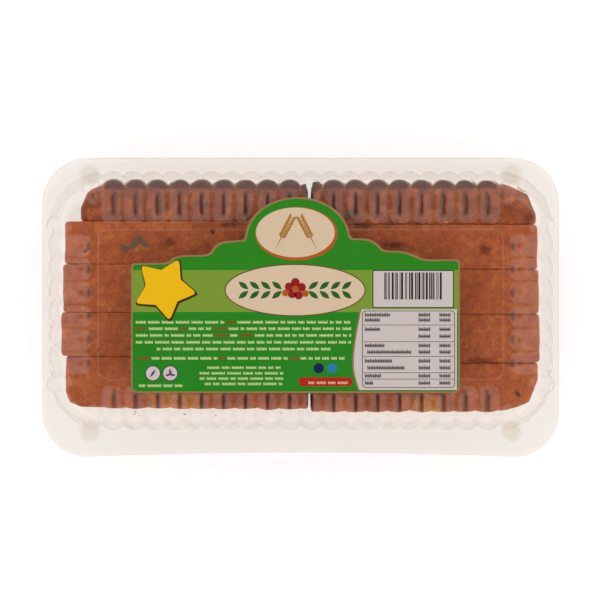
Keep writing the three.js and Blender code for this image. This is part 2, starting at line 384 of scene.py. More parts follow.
def cornerSpan(wall, size, side):
    # straight lengths of the two sides, and the part of the corner's quarter turn between their flutes
    extents = [size['halfLength'], size['halfDepth']]
    straight = [extents[side % 2] - size['corner'], extents[(side + 1) % 2] - size['corner']]
    runs = [wall['longSide'], wall['shortSide']]
    fluted = [runs[(side + k) % 2]['flutes'] * runs[(side + k) % 2]['pitch'] / 2 for k in range(2)]
    slack = wall['cornerSlack'] * size['corner']
    reach = [min(fluted[k], straight[k] + slack) for k in range(2)]
    return straight, fluted, reach


def placeOnSize(wall, size, station):
    # each side is worked out as the front side, and then turned by quarters
    side = station['side']
    straight, fluted, reach = cornerSpan(wall, size, side)
    along = straight[0]
    if 'turn' in station:
        first = turnPast(reach[0], straight[0], size['corner'])
        last = math.pi / 2 - turnPast(reach[1], straight[1], size['corner'])
        angle = mixed(first, last, station['turn'])
    else:
        at = station['at'] * reach[0] / fluted[0]
        angle = math.copysign(turnPast(at, straight[0], size['corner']), at)
        along = min(max(at, -straight[0]), straight[0])
    outward = Vector((math.sin(angle), -math.cos(angle)))
    place = Vector((along, -straight[1])) + outward * size['corner']
    quarter = [(1, 0), (0, 1), (-1, 0), (0, -1)][side]
    turned = [Vector((v.x * quarter[0] - v.y * quarter[1], v.x * quarter[1] + v.y * quarter[0]))
              for v in (place, outward)]
    return turned


def sizeAt(wall, reach, grow=0.0):
    rim, end = wall['rim'], wall['end']
    return {key: mixed(rim[key], end[key], reach) + grow for key in rim}


def wallRing(wall, stations, level, fluteHeight):
    size = sizeAt(wall, level['reach'], level.get('grow', 0.0))
    ring = []
    for station in stations:
        place, outward = placeOnSize(wall, size, station)
        lift = fluteHeight(station, level)
        place += outward * lift * math.cos(level['tilt'])
        ring.append((place.x, place.y + wall['centreY'], level['z'] + lift * math.sin(level['tilt'])))
    return ring


# Flange with a rolled edge and snap buttons, for either half of the pack

flangeSize = dict(
    halfLength=119 * mm,
    halfDepth=68.75 * mm,
    corner=21 * mm,
    frontBow=2 * mm,
    sheet=0.3 * mm,
    rootRadius=0.9 * mm,   # where the wall meets the flange
    # rolled edge: how far in from the outside, and how far from the flange, in mm
    bead=[(1.5, 0), (1.15, 0.03), (0.98, 0.2), (0.87, 0.5), (0.74, 0.76), (0.54, 0.9), (0.33, 0.88),
          (0.15, 0.7), (0.04, 0.4), (0.0, -0.05)],
    buttonPlaces=[(-97, -56.8), (97, -56.8), (97, 61), (-97, 61)],
    buttonSides=40,
)


def beadRings(plane, direction):
    rings = []
    for inset, rise in flangeSize['bead']:
        inset *= mm
        outline = roundedOutline(flangeSize['halfLength'] - inset, flangeSize['halfDepth'] - inset,
                                 flangeSize['corner'] - inset, 0, flangeSize['frontBow'], 20, 60)
        rings.append([(x, y, plane + direction * rise * mm) for x, y in outline])
    return rings


def addButton(name, place, plane, profile):
    # a round cup drawn up ring by ring from the flange; the profile is (radius, height) in mm
    deselectAll()
    centre = (place[0] * mm, place[1] * mm, plane)
    sides = flangeSize['buttonSides']
    bpy.ops.mesh.primitive_circle_add(vertices=sides, radius=profile[0][0] * mm, location=centre)
    cup = settle(named(name))
    pick(cup)
    bpy.ops.object.mode_set(mode='EDIT')
    bpy.ops.mesh.select_all(action='SELECT')
    for (radius, height), (nextRadius, nextHeight) in zip(profile, profile[1:]):
        rise = (nextHeight - height) * mm
        bpy.ops.mesh.extrude_region_move(TRANSFORM_OT_translate=dict(value=(0, 0, rise)))
        share = nextRadius / radius
        bpy.ops.transform.resize(value=(share, share, 1), center_override=centre)
    bpy.ops.mesh.edge_face_add()
    bpy.ops.object.mode_set(mode='OBJECT')
    return cup


def joinToFlange(name, wall, plane, direction, buttonProfile):
    bead = wrappedGrid(name + 'Bead', beadRings(plane, direction))
    shell = joined(name, [wall, bead])
    closeOpenEdges(shell, lambda z: abs(z - plane) < levelSlack, lambda: bpy.ops.mesh.fill(use_beauty=True))
    # the buttons touch the foot of the wall, where fill would stop, so they are set on the filled flange
    cups = [addButton(name + 'Button', place, plane, buttonProfile) for place in flangeSize['buttonPlaces']]
    return joined(name, [shell, *cups])


def thicken(shell, outwardFace):
    # outwardFace says which flat face has to look up (1) or down (-1) on the outside
    pick(shell)
    bpy.ops.object.mode_set(mode='EDIT')
    bpy.ops.mesh.select_all(action='SELECT')
    bpy.ops.mesh.normals_make_consistent(inside=False)
    mesh = bmesh.from_edit_mesh(shell.data)
    biggest = max(mesh.faces, key=lambda face: face.calc_area())
    if biggest.normal.z * outwardFace < 0:
        bpy.ops.mesh.flip_normals()
    bpy.ops.object.mode_set(mode='OBJECT')
    useModifier(shell, 'SOLIDIFY', thickness=flangeSize['sheet'], offset=-1.0)
    smoothByAngle(shell, 38)
    for face in shell.data.polygons:
        if abs(face.normal.z) > 0.99999:
            face.use_smooth = False


# Lid

partingHeight = 25 * mm
lidWall = dict(
    centreY=1.4 * mm,
    rim=dict(halfLength=114 * mm, halfDepth=55.2 * mm, corner=23 * mm),
    end=dict(halfLength=91.6 * mm, halfDepth=34.2 * mm, corner=5 * mm),
    longSide=dict(flutes=18, pitch=10 * mm),
    shortSide=dict(flutes=6, pitch=10.6 * mm),
    cornerSlack=0.45,
    fluteShare=0.96,        # of the pitch; the rest is a flat groove
    acrossSteps=[-1, -0.96, -0.94, -0.88, -0.75, -0.55, -0.34, -0.12,
                 0.12, 0.34, 0.55, 0.75, 0.88, 0.94, 0.96],
    fluteRoundness=0.74,    # 0.5 is half an ellipse, and more has gentler flanks
    shortFluteTurn=0.25,
    cornerSteps=16,
    bulge=2.6 * mm,
    # on the short sides the crest rises from the shoulder to the inner end:
    # distance to the panel in mm, and share of the bulge
    sideSwell=[(5, 1.0), (14.7, 0.35), (24.6, 0.5), (38, 0.7)],
    flangeTop=25.65 * mm,
    flangeUnder=25.15 * mm,
    height=20.1 * mm,
    uprightReach=0.03,
    shoulderRise=6.3 * mm,
    shoulderReach=0.32,
    shoulderSteps=9,
    # rings on the flat top, by their distance to the panel's edge in mm
    topSteps=[14.0, 13.2, 12.4, 11.8, 11.4, 11.15, 9.0, 6.9, 6.2, 5.5,
              4.8, 4.2, 3.6, 3.15, 2.8, 2.55, 2.4, 1.2, 0.3],
    fluteEndGap=2.4 * mm,       # from the panel's edge to the round end of a flute
    shortFluteEndGap=11.2 * mm,
    panelRise=2.7 * mm,
    panelMargin=0.1 * mm,
    panelSteps=[(0.0, 0.0), (0.03, 0.3), (0.08, 0.62), (0.2, 0.86), (0.42, 0.97), (0.7, 1.0), (1.6, 1.0)],
    buttonProfile=[(5.1, 0), (4.85, 0.1), (4.65, 0.45), (4.5, 1.5), (4.3, 1.85), (3.9, 2.0), (3.2, 1.95)],
)


def lidStations():
    wall = lidWall
    share = wall['shortFluteTurn']
    stations = []
    for side in range(4):
        stations += straightStations(wall, side)
        for start in (0.0, 1 - share):
            if start:
                for step in range(wall['cornerSteps']):
                    turn = mixed(share, start, step / wall['cornerSteps'])
                    stations.append(dict(side=side, turn=turn, across=2.0, short=True))
            for across in wall['acrossSteps']:
                stations.append(dict(side=side, turn=start + share * (across + 1) / 2,
                                     across=across / wall['fluteShare'], short=True))
    return stations


def lidLevels():
    # up the wall, over the round shoulder and in along the flat top
    wall = lidWall
    roof = wall['flangeUnder'] + wall['height']
    wallTop = roof - wall['shoulderRise']
    root = flangeSize['rootRadius']
    run = wall['rim']['halfDepth'] - wall['end']['halfDepth']
    levels = []
    for turn in (0, 30, 60):
        angle = math.radians(turn)
        levels.append(dict(z=wall['flangeTop'] + root * (1 - math.cos(angle)), reach=0.0,
                           grow=root * (1 - math.sin(angle)), tilt=0.0))
    for share in (0.16, 0.45, 0.75):
        levels.append(dict(z=mixed(wall['flangeUnder'], wallTop, share), tilt=0.0,
                           reach=share * wall['uprightReach']))
    for step in range(wall['shoulderSteps'] + 1):
        angle = step / wall['shoulderSteps'] * math.pi / 2
        levels.append(dict(z=wallTop + wall['shoulderRise'] * math.sin(angle), tilt=angle,
                           reach=mixed(wall['uprightReach'], wall['shoulderReach'], 1 - math.cos(angle))))
    for away in wall['topSteps']:
        levels.append(dict(z=roof, reach=1 - away * mm / run, tilt=math.pi / 2))
    along = 0.0   # the distance to the panel's edge
    for lower, upper in reversed(list(zip(levels, levels[1:]))):
        upper['along'] = along
        along += math.hypot((upper['reach'] - lower['reach']) * run, upper['z'] - lower['z'])
    levels[0]['along'] = along
    return levels


def lidFlute(station, level):
    wall = lidWall
    halfWidth = wall['fluteShare'] * wall['longSide']['pitch'] / 2
    endGap = wall['shortFluteEndGap'] if station['short'] else wall['fluteEndGap']
    beyond = max(0.0, halfWidth + endGap - level['along']) / halfWidth
    rho = station['across'] ** 2 + beyond ** 2
    if rho >= 1:
        return 0.0
    swell = 1.0
    if station['side'] % 2 == 1 and not station['short']:
        swell = float(np.interp(level['along'] / mm, *zip(*wall['sideSwell'])))
    return wall['bulge'] * swell * (1 - rho) ** wall['fluteRoundness']


def makeLid():
    wall = lidWall
    stations = lidStations()
    rings = [wallRing(wall, stations, level, lidFlute) for level in lidLevels()]
    top = rings[-1][0][2]
    panel = dict(wall, rim=wall['end'])
    for inset, rise in wall['panelSteps']:
        level = dict(z=top + rise * wall['panelRise'], reach=0.0, tilt=0.0,
                     grow=-inset * mm - wall['panelMargin'])
        rings.append(wallRing(panel, stations, level, lambda station, level: 0.0))
    shell = wrappedGrid('lidShell', rings)
    roof = top + wall['panelRise']
    closeOpenEdges(shell, lambda z: abs(z - roof) < levelSlack, bpy.ops.mesh.edge_face_add)
    shell = joinToFlange('lidShell', shell, wall['flangeTop'], 1, wall['buttonProfile'])
    thicken(shell, 1)
    finishPiece(shell, 'lid', clearPlastic, ['lid'])
    print("lid", len(shell.data.polygons), "faces")
    return shell


# Tray

trayWall = dict(
    centreY=3.2 * mm,
    rim=dict(halfLength=114.5 * mm, halfDepth=57.8 * mm, corner=23.5 * mm),
    end=dict(halfLength=108.6 * mm, halfDepth=52.6 * mm, corner=18 * mm),
    longSide=dict(flutes=20, pitch=9.1 * mm),
    shortSide=dict(flutes=6, pitch=10.35 * mm),
    cornerSlack=0.45,
    fluteShare=0.94,
    acrossSteps=[-1, -0.92, -0.8, -0.55, -0.28, 0, 0.28, 0.55, 0.8, 0.92],
    facetTurns=[0.08, 0.36, 0.64, 0.92],
    facetSteps=7,
    bulge=2 * mm,
    flangeUnder=24.35 * mm,
    footHeight=2.5 * mm,
    footReach=0.45,
    floorSteps=[(0.0, 0.0), (-0.4, 0.02), (-1.2, 0.0)],
    buttonProfile=[(3.9, 0), (3.65, 0.1), (3.45, 0.4), (3.3, 1.4), (3.1, 1.8), (2.7, 1.98), (2.2, 2.0)],
)


def trayStations():
    wall = trayWall
    stations = []
    for side in range(4):
        stations += straightStations(wall, side)
        turns = wall['facetTurns']
        stations.append(dict(side=side, turn=0.0, across=1.0))
        for first, second in zip(turns, turns[1:]):
            for step in range(wall['facetSteps']):
                stations.append(dict(side=side, facet=(first, second, step / wall['facetSteps']), across=0.0))
        stations.append(dict(side=side, turn=turns[-1], across=0.0))
    return stations


def trayRing(stations, level):
    # stations on a corner facet lie on the straight line between its two edges
    wall = trayWall
    ends = []
    for station in stations:
        if 'facet' in station:
            first, second, share = station['facet']
            ends.append([dict(station, turn=first), dict(station, turn=second), share])
        else:
            ends.append([station, station, 0.0])
    firsts = wallRing(wall, [end[0] for end in ends], level, trayFlute)
    seconds = wallRing(wall, [end[1] for end in ends], level, trayFlute)
    return [Vector(a).lerp(Vector(b), end[2]) for a, b, end in zip(firsts, seconds, ends)]


def trayFlute(station, level):
    if abs(station['across']) >= 1:
        return 0.0
    return trayWall['bulge'] * level['swell'] * (1 - station['across'] ** 2)


def makeTray():
    wall = trayWall
    under = wall['flangeUnder']
    root = flangeSize['rootRadius']
    levels = []
    for turn in (0, 30, 60):
        angle = math.radians(turn)
        levels.append(dict(z=under - root * (1 - math.cos(angle)), reach=0.0,
                           grow=root * (1 - math.sin(angle)), swell=1.0))
    for share in (0.08, 0.3, 0.55, 0.8, 1.0):
        levels.append(dict(z=mixed(under, wall['footHeight'], share), reach=share * wall['footReach'],
                           swell=mixed(1.0, 0.9, share)))
    for turn in (15, 30, 45, 60, 75, 90):
        angle = math.radians(turn)
        levels.append(dict(z=wall['footHeight'] * (1 - math.sin(angle)),
                           reach=mixed(1.0, wall['footReach'], math.cos(angle)), swell=0.9 * math.cos(angle)))
    for level in levels:
        level['tilt'] = 0.0
    stations = trayStations()
    rings = [trayRing(stations, level) for level in levels]
    shell = wrappedGrid('trayShell', rings)
    closeOpenEdges(shell, lambda z: z < 5 * levelSlack, bpy.ops.mesh.edge_face_add)
    shell = joinToFlange('trayShell', shell, under, -1, wall['buttonProfile'])
    thicken(shell, -1)
    finishPiece(shell, 'tray', clearPlastic, ['tray'])
    print("tray", len(shell.data.polygons), "faces")
    return shell


# Hinge: one strip of the sheet, folded along the rear edge

hinge = dict(
    halfLength=97 * mm,
    y=68.6 * mm,
    low=24.45 * mm,
    high=25.55 * mm,
    proud=0.35 * mm,
    columns=24,
    rows=8,
)


def makeHinge():
    deselectAll()
    bpy.ops.mesh.primitive_grid_add(x_subdivisions=hinge['columns'], y_subdivisions=hinge['rows'], size=1)
    strip = named('hingeFold')
    points = readPoints(strip)
    share = points[:, 1] + 0.5
    shaped = np.stack([
        points[:, 0] * 2 * hinge['halfLength'],
        hinge['y'] + hinge['proud'] * np.sin(share * math.pi),
        mixed(hinge['low'], hinge['high'], share),
    ], axis=1)
    writePoints(strip, shaped)
    useModifier(strip, 'SOLIDIFY', thickness=0.15 * mm, offset=0.0)
    smoothByAngle(strip, 60)
    strip.data.materials.append(clearPlastic)
    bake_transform(strip)
    print("hinge ready")


# Cake slices

sliceShape = dict(
    voxel=0.62 * mm,
    smoothing=1,
    crustDepth=2.8 * mm,
    cutProud=0.24 * mm,    # how far the cut faces stand out from the plain solids
    # the first slices are pressed into the lid's flutes at the rear: share of a flute's depth, and heights
    pressShare=1.15,
    pressBase=0.35 * mm,
    pressLow=25.4 * mm,
    pressHigh=34 * mm,
    pressFade=(1.5 * mm, 3 * mm),   # below and above, between no swelling and all of it
    pressRoundness=0.6,
    pressEnd=90 * mm,      # half the length of the fluted wall
    frontPress=0.22,       # the last slices' front, as a share of the rear's
    frontSlant=0.0055,     # the left loaf's front runs askew: rise of y for each unit to the left
    # painted dark reflections of the flutes' crests, as lines on the crust below them: half width, soft end,
    # and from where to where along Y at the rear and the front
    crestLine=1.05 * mm,
    crestFade=1 * mm,
    rearCrest=(41.5 * mm, 52.5 * mm),
    frontCrest=(-50 * mm, -37.5 * mm),
    jointReach=(1.14 * mm, 1.9 * mm),   # this near a cut the top is drawn up, so that slices meet closely
    jointShare=0.9,
    jointDrop=(1.3 * mm, 2.2 * mm),     # down to this far below the top
    jointRim=(0.25 * mm, 0.8 * mm),     # and this near the cut the edge goes out to it
    jointEnds=(3 * mm, 8 * mm),         # but not at the slice's ends
    # and painted shade as dark spots on the crust below the inner ends of the short sides' flutes
    endSpotX=96.7 * mm,
    endSpotSize=(1.5, 2.2),
    columnWidth=2 * mm,    # steps along a slice in which its top is measured
    lumpSize=9 * mm,
    lumpHeight=0.42 * mm,
    wrinkleSize=2.6 * mm,
    wrinkleHeight=0.13 * mm,
    poreSize=2.2 * mm,
    poreDepth=0.42 * mm,
    # golden areas along the front edge: place from above and how far they spread, in mm
    paleSpots=[(-56, -44, 9.5), (57.3, -45, 8.5)],
    # painted shade in creases and along open joints between slices, and stains on the crust: place, half
    # length and half width, in mm
    darkSpots=[(-32, 38.4, 7, 2.2), (42, 28.6, 6, 1.4), (-59.5, 29.8, 2.6, 2.2), (26, 37.4, 9, 1.6),
               (55, 38.2, 16, 1.1), (84, 26, 3, 3), (-91, -20, 2.5, 1.5), (82, -24, 7, 1.6), (-66, 8, 2, 2)],
    # green peel just under the crust
    peelSpots=[(-79.4, 27.0, 3.3, 2.0), (-76.8, 28.6, 2.6, 2.0), (-74.2, 30.4, 3.4, 3.0),
               (-71.6, 28.6, 1.8, 1.6), (22.6, 43.0, 3.6, 3.0)],
    # painted shade on the first slices, which lie under the lid's rear shoulder
    firstRowPaintedShade=0.6,     # how much darker the first slices' crust is
)

cakeLook = dict(
    # colour and strength of the painted shade and painted dark reflections on the crust next to the lid
    paintedShadeCrust=linear(74, 26, 12),
    paintedShadeDepth=0.85,
    # colour of the painted shade in creases, open joints and on the first slices, shared with stains
    shadeAndStainCrust=linear(92, 38, 20),
    peelGreen=linear(80, 84, 66),
    darkCrust=linear(127, 58, 28),
    crust=linear(212, 118, 64),
    redCrust=linear(192, 89, 45),
    paleCrust=linear(216, 142, 56),
    goldSide=linear(178, 98, 46),
    crumb=linear(226, 178, 98),
    crumbShade=linear(190, 130, 62),
)


def makeCakeMaterial():
    look = cakeLook
    material, tree, place = newMaterial('bakedCake')
    broad = useGroup(tree, mottle, {'Vector': place, 'Scale': 85.0, 'Low': 0.0, 'High': 1.0})['Value']
    middle = useGroup(tree, mottle, {'Vector': place, 'Scale': 230.0, 'Low': -0.15, 'High': 1.15})['Value']
    fine = useGroup(tree, mottle, {'Vector': place, 'Scale': 950.0, 'Low': -0.1, 'High': 1.1})['Value']
    crust = mixColours(tree, broad, look['crust'], look['redCrust'])
    darkShare = maths(tree, 'MULTIPLY', middle, 0.5)
    crust = mixColours(tree, darkShare, crust, look['darkCrust'])
    crust = mixColours(tree, maths(tree, 'MULTIPLY', fine, 0.45), crust, look['darkCrust'])
    # painted shade in creases, open joints and on the first slices, mixed in together with stains
    shadeAndStainShare = maths(tree, 'MULTIPLY', paintedMask(tree, 'burnt'), spread(tree, middle, 0.0, 1.0, 0.4, 0.9))
    crust = mixColours(tree, shadeAndStainShare, crust, look['shadeAndStainCrust'])
    peelShare = maths(tree, 'MULTIPLY', paintedMask(tree, 'peel'), spread(tree, fine, 0.0, 1.0, 0.95, 0.55))
    crust = mixColours(tree, peelShare, crust, look['peelGreen'])
    # less baked areas turn golden, patchily
    patch = maths(tree, 'MULTIPLY_ADD', maths(tree, 'SUBTRACT', middle, 0.5), 0.6, paintedMask(tree, 'toast'))
    baked = spread(tree, patch, 0.1, 0.85)
    gold = mixColours(tree, fine, look['goldSide'], look['paleCrust'])
    outside = mixColours(tree, baked, gold, crust)
    # painted shade on the first slices' rear side and below the short flutes' ends, and painted dark
    # reflections of the flutes' crests
    paintedShadeShare = maths(tree, 'MULTIPLY', paintedMask(tree, 'paintedShade'), look['paintedShadeDepth'])
    outside = mixColours(tree, paintedShadeShare, outside, look['paintedShadeCrust'])
    crumb = mixColours(tree, middle, look['crumb'], look['crumbShade'])
    ragged = maths(tree, 'MULTIPLY_ADD', maths(tree, 'SUBTRACT', fine, 0.5), 0.3, paintedMask(tree, 'crust'))
    edge = spread(tree, ragged, 0.3, 0.7)
    colour = mixColours(tree, edge, crumb, outside)
    relief = maths(tree, 'ADD', maths(tree, 'MULTIPLY', fine, 0.6), middle)
    bump = addNode(tree, 'ShaderNodeBump', {'Height': relief, 'Strength': 0.55, 'Distance': 0.35 * mm})
    rough = spread(tree, edge, 0.0, 1.0, 0.92, 0.62)
    skin = addNode(tree, 'ShaderNodeBsdfPrincipled', {
        'Base Color': colour, 'Roughness': rough, 'Normal': bump.outputs[0], 'Specular IOR Level': 0.3,
    })
    showSurface(tree, skin)
    return material


def smoothStep(value, low, high):
    share = np.clip((value - low) / (high - low), 0, 1)
    return share * share * (3 - 2 * share)


def noiseAt(points, size, seed):
    shift = Vector((seed * 0.317, seed * 0.713, seed * 0.191))
    return np.array([noise.noise(Vector(p) / size + shift) for p in points])


def poresAt(points, size, seed):
    shift = Vector((seed * 0.53, seed * 0.29, seed * 0.87))
    return np.array([noise.voronoi(Vector(p) / size + shift)[0][0] for p in points])


def spotMask(points, x, y, halfLength, halfWidth, raggedness):
    away = np.hypot((points[:, 0] - x * mm) / halfLength, (points[:, 1] - y * mm) / halfWidth) / mm
    return 1 - smoothStep(away + raggedness, 0.5, 1.15)


def fluteAcross(points):
    # distance to the middle of the nearest flute
    pitch = lidWall['longSide']['pitch']
    return points[:, 0] % pitch - pitch / 2


def pressIntoFlutes(points, outwards):
    # how far an outer side swells into the flutes, point by point; outwards is how much it looks that way
    shape, wall = sliceShape, lidWall
    across = fluteAcross(points) / (wall['fluteShare'] * wall['longSide']['pitch'] / 2)
    flute = wall['bulge'] * np.clip(1 - across ** 2, 0, 1) ** shape['pressRoundness']
    flute *= np.abs(points[:, 0]) < shape['pressEnd']
    height = points[:, 2]
    below, above = shape['pressFade']
    window = smoothStep(height, shape['pressLow'], shape['pressLow'] + below)
    window *= 1 - smoothStep(height, shape['pressHigh'] - above, shape['pressHigh'])
    return (shape['pressShare'] * flute + shape['pressBase']) * window * np.clip(2 * outwards, 0, 1)


def paintedCrestReflections(points, span):
    # painted reflection: dark lines on the crust under the flutes' crests, between two places along Y
    halfWidth, fade = sliceShape['crestLine'], sliceShape['crestFade']
    low, high = span
    y = points[:, 1]
    line = 1 - smoothStep(np.abs(fluteAcross(points)), 0.45 * halfWidth, 1.3 * halfWidth)
    line *= smoothStep(y, low - fade, low + fade) * (1 - smoothStep(y, high - fade, high + fade))
    return line * (np.abs(points[:, 0]) < sliceShape['pressEnd'])


def paintedShadeMarks(points, pressed, row, lastRow):
    # painted shade where the crust lies against the plastic, painted dark reflections below its crests, and
    # painted shade spots below the short flutes' ends
    marks = np.zeros(len(points))
    # painted shade on the first slices' rear side, where it swells into the flutes
    if row == 1:
        touching = smoothStep(pressed, 0.4 * mm, 1.2 * mm)
        marks = np.maximum(touching, paintedCrestReflections(points, sliceShape['rearCrest']))
    if row == lastRow:
        marks = paintedCrestReflections(points, sliceShape['frontCrest'])
    run = lidWall['shortSide']
    # painted shade spots below the inner ends of the short flutes
    halfWide, halfLong = sliceShape['endSpotSize']
    for flute in range(run['flutes']):
        y = lidWall['centreY'] + (flute + 0.5 - run['flutes'] / 2) * run['pitch']
        for x in (-sliceShape['endSpotX'], sliceShape['endSpotX']):
            marks = np.maximum(marks, 0.8 * spotMask(points, x / mm, y / mm, halfWide, halfLong, 0.0))
    return marks


def closeJoints(points, tops, frontCut, rearCut, low, high):
    # near a cut the rounded edge is drawn up to the top and out to the cut plane
    shape = sliceShape
    inland = smoothStep(np.minimum(points[:, 0] - low[0], high[0] - points[:, 0]), *shape['jointEnds'])
    shaped = points.copy()
    for plane, side in ((frontCut, -1), (rearCut, 1)):
        if plane is None:
            continue
        away = np.abs(points[:, 1] - plane)
        near = (1 - smoothStep(away, *shape['jointReach'])) * inland
        drop = tops - points[:, 2]
        upper = 1 - smoothStep(drop, *shape['jointDrop'])
        shaped[:, 2] += near * upper * shape['jointShare'] * drop
        rim = (1 - smoothStep(away, *shape['jointRim'])) * inland * upper
        shaped[:, 1] += side * rim * shape['jointShare'] * away
    return shaped


def makeSlice(name, half, row, lastRow, material):
    source = frame['nodes'][name]
    obj = source.copy()
    obj.data = source.data.copy()
    obj.parent = None
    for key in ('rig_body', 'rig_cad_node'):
        del obj[key]
    bpy.context.scene.collection.objects.link(obj)
    obj.name = 'cake_' + half + '_' + str(row)
    obj.data.name = obj.name
    closeDoubles(obj, 0.01 * mm)
    useModifier(obj, 'REMESH', mode='VOXEL', voxel_size=sliceShape['voxel'])
    useModifier(obj, 'SMOOTH', factor=0.5, iterations=sliceShape['smoothing'])
    points = readPoints(obj)
    normals = np.array([v.normal[:] for v in obj.data.vertices])
    low, high = points.min(axis=0), points.max(axis=0)

    # depth under the nearest outside that was baked: top, ends, foot, and one side of the end slices
    columnWidth = sliceShape['columnWidth']
    columns = np.clip(((points[:, 0] - low[0]) / columnWidth).astype(int), 0, None)
    tops = np.zeros(columns.max() + 1)
    np.maximum.at(tops, columns, points[:, 2])
    topHere = np.interp(points[:, 0] - low[0], (np.arange(len(tops)) + 0.5) * columnWidth, tops)
    depths = [tops[columns] - points[:, 2], points[:, 0] - low[0],
              high[0] - points[:, 0], points[:, 2] - low[2]]
    isCut = np.abs(normals[:, 1]) > 0.75
    if row == 1:
        isCut &= normals[:, 1] < 0
        depths.append(high[1] - points[:, 1])
    if row == lastRow:
        isCut &= normals[:, 1] > 0
        depths.append(points[:, 1] - low[1])
    depth = np.min(depths, axis=0)
    crust = 1 - smoothStep(depth, 0.5 * sliceShape['crustDepth'], 1.5 * sliceShape['crustDepth'])
    crust = np.where(isCut, crust, 1.0)

    seed = row + (10 if half == 'left' else 20)
    lumps = noiseAt(points, sliceShape['lumpSize'], 3)
    wrinkles = noiseAt(points, sliceShape['wrinkleSize'], 5)
    pores = poresAt(points, sliceShape['poreSize'], seed)
    outside = lumps * sliceShape['lumpHeight'] + wrinkles * sliceShape['wrinkleHeight']
    inside = sliceShape['cutProud'] - sliceShape['poreDepth'] * np.clip(1 - 2.2 * pores, 0, 1)
    lift = np.where(isCut, inside, np.minimum(outside, 0.3 * mm))
    lift = np.where(normals[:, 2] < -0.6, 0, lift)
    frontCut = None if row == lastRow else low[1]
    rearCut = None if row == 1 else high[1]
    shaped = closeJoints(points, topHere, frontCut, rearCut, low, high)
    shaped += normals * lift[:, None]
    pressed = np.zeros(len(points))
    if row == 1:
        pressed = pressIntoFlutes(points, normals[:, 1])
        shaped[:, 1] += pressed
    if row == lastRow:
        shaped[:, 1] -= sliceShape['frontPress'] * pressIntoFlutes(points, -normals[:, 1])
        if half == 'left':
            front = 1 - smoothStep(points[:, 1], low[1], high[1])
            shaped[:, 1] -= sliceShape['frontSlant'] * front * (points[:, 0] - (low[0] + high[0]) / 2)
    writePoints(obj, shaped)

    toast = 0.25 + 0.75 * smoothStep(points[:, 2] / high[2], 0.35, 0.93)
    for x, y, reach in sliceShape['paleSpots']:
        away = np.hypot((points[:, 0] - x * mm) / 1.6, points[:, 1] - y * mm)
        toast -= 0.8 * (1 - smoothStep(away, 0.35 * reach * mm, reach * mm))
    burnt = np.zeros(len(points))
    peel = np.zeros(len(points))
    # painted shade in creases and along open joints, and stains
    for x, y, halfLength, halfWidth in sliceShape['darkSpots']:
        burnt = np.maximum(burnt, spotMask(points, x, y, halfLength, halfWidth, 0.5 * wrinkles))
    for x, y, halfLength, halfWidth in sliceShape['peelSpots']:
        peel = np.maximum(peel, spotMask(points, x, y, halfLength, halfWidth, 0.7 * wrinkles))
    # painted shade over all of the first slices' crust
    if row == 1:
        burnt = np.maximum(burnt, sliceShape['firstRowPaintedShade'])
    masks = dict(crust=crust, toast=np.clip(toast, 0, 1), burnt=burnt, peel=peel,
                 paintedShade=paintedShadeMarks(points, pressed, row, lastRow))
    for label, values in masks.items():
        attribute = obj.data.attributes.new(label, 'FLOAT', 'POINT')
        attribute.data.foreach_set('value', values.astype(np.float32))
    pick(obj)
    bpy.ops.object.shade_smooth()
    finishPiece(obj, 'tray', material, [name])
    return obj


def makeSlices():
    material = makeCakeMaterial()
    made = []
    for half in ('left', 'right'):
        names = sorted(n for n in frame['nodes'] if n.startswith('slice_' + half))
        for row, name in enumerate(names, start=1):
            made.append(makeSlice(name, half, row, len(names), material))
    print("cake", sum(len(s.data.polygons) for s in made), "faces")
    return made


# Fruit that shows at the crust, and loose crumbs on the tray's floor

fruitKinds = {
    'greenPeel': dict(colour=(80, 88, 68), size=(3.6, 2.8, 1.2), sunk=0.42, count=3,
                      placed=[(-74.0, 30.8), (-79.4, 27.0), (22.6, 42.6)]),
    'sultanas': dict(colour=(96, 46, 30), size=(3.8, 2.6, 1.5), sunk=0.36, count=8,
                     placed=[(45, 25.5), (-98, 26)]),
    'orangePeel': dict(colour=(204, 120, 50), size=(2.8, 2.4, 1.3), sunk=0.34, count=12,
                       placed=[(-52, -43), (63, -43), (-74.6, 26.4)]),
}
fruitArea = dict(x=(-104, 104), y=(-44, 52), seed=7)   # where fruit without a place of its own falls
crumbs = dict(count=18, size=(0.25, 0.6), x=(-95, 95), y=(-51.2, -48.6), seed=11)


def makeFruitMaterial(name, colour):
    material, tree, place = newMaterial(name)
    shade = useGroup(tree, mottle, {'Vector': place, 'Scale': 700.0, 'Low': 0.0, 'High': 0.6})['Value']
    base = linear(*colour)
    deep = tuple(channel * 0.45 for channel in base[:3]) + (1.0,)
    normal = useGroup(tree, grain, {
        'Vector': place, 'Scale': 900.0, 'Strength': 0.6, 'Depth': 0.3 * mm,
    })['Normal']
    skin = addNode(tree, 'ShaderNodeBsdfPrincipled', {
        'Base Color': mixColours(tree, shade, base, deep), 'Roughness': 0.38, 'Normal': normal,
        'Subsurface Weight': 0.15, 'Subsurface Scale': 0.002,
    })
    showSurface(tree, skin)
    return material


def dropOnCake(trees, x, y):
    for tree in trees:
        hit, normal, _, _ = tree.ray_cast(Vector((x, y, 0.1)), Vector((0, 0, -1)))
        if hit is not None and normal.z > 0.8:
            return hit, normal
    return None, None


def makeBit(name, subdivisions, radius, scale, turn, place, bumpHeight, bumpSize, seed):
    # a small lumpy ball
    deselectAll()
    bpy.ops.mesh.primitive_ico_sphere_add(subdivisions=subdivisions, radius=radius)
    bit = named(name)
    bit.scale = scale
    bit.rotation_euler = turn
    bit.location = place
    settle(bit)
    points = readPoints(bit)
    centre = points.mean(axis=0)
    bumps = 1 + bumpHeight * noiseAt(points, bumpSize, seed)
    writePoints(bit, centre + (points - centre) * bumps[:, None])
    return bit


